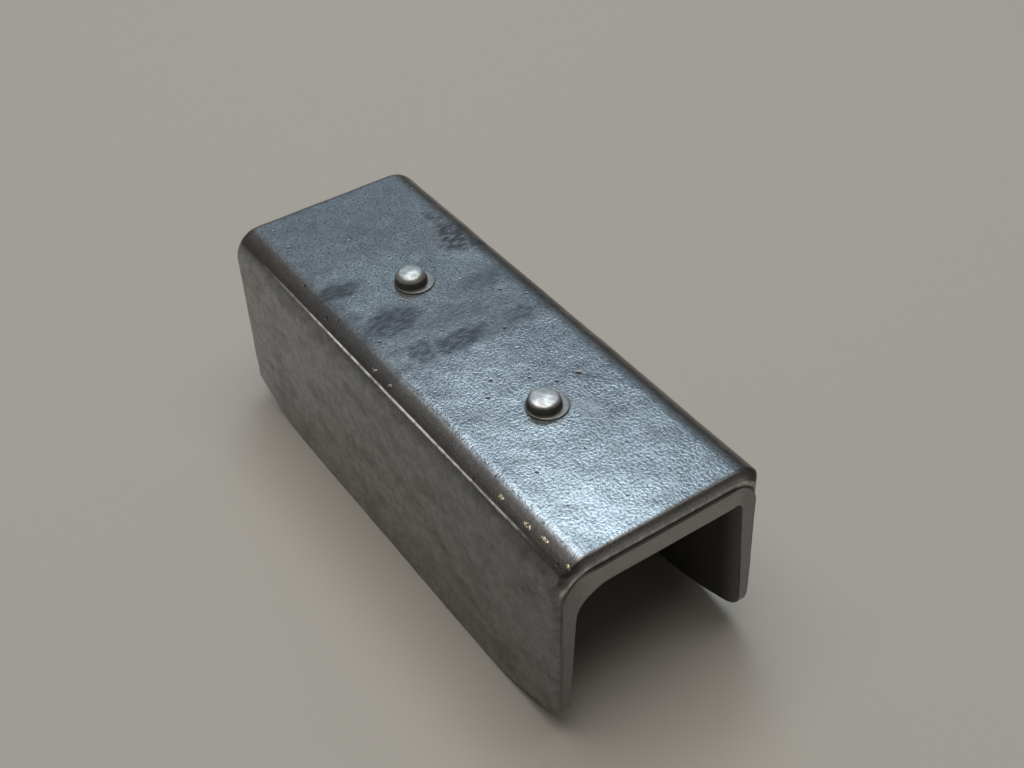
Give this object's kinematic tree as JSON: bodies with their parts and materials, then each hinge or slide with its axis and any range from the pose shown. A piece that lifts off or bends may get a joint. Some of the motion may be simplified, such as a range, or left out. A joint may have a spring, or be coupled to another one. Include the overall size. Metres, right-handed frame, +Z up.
{
  "type": "strut channel joiner",
  "caption": "Cast U-shaped saddle with a thick web, tapering flanges and domed rivets, slipped over butted strut ends to join them in line.",
  "frame": {"origin": "middle of the plane that the flange tips stand on, half way along the channel", "axes": "+X along the channel towards its front end, +Z up from the flange tips to the web, +Y across the web"},
  "size_m": [0.1392, 0.0524, 0.0558],
  "materials": {
    "channel_metal": "cast zinc-grey metal, pebbly on the web, smoother on the flanges, worn and smeared",
    "rivet_metal": "smooth domed heads, polished by wear"
  },
  "bodies": {
    "root": {"channel": "channel_metal", "front_rivet": "rivet_metal", "rear_rivet": "rivet_metal"}
  },
  "joints": []
}
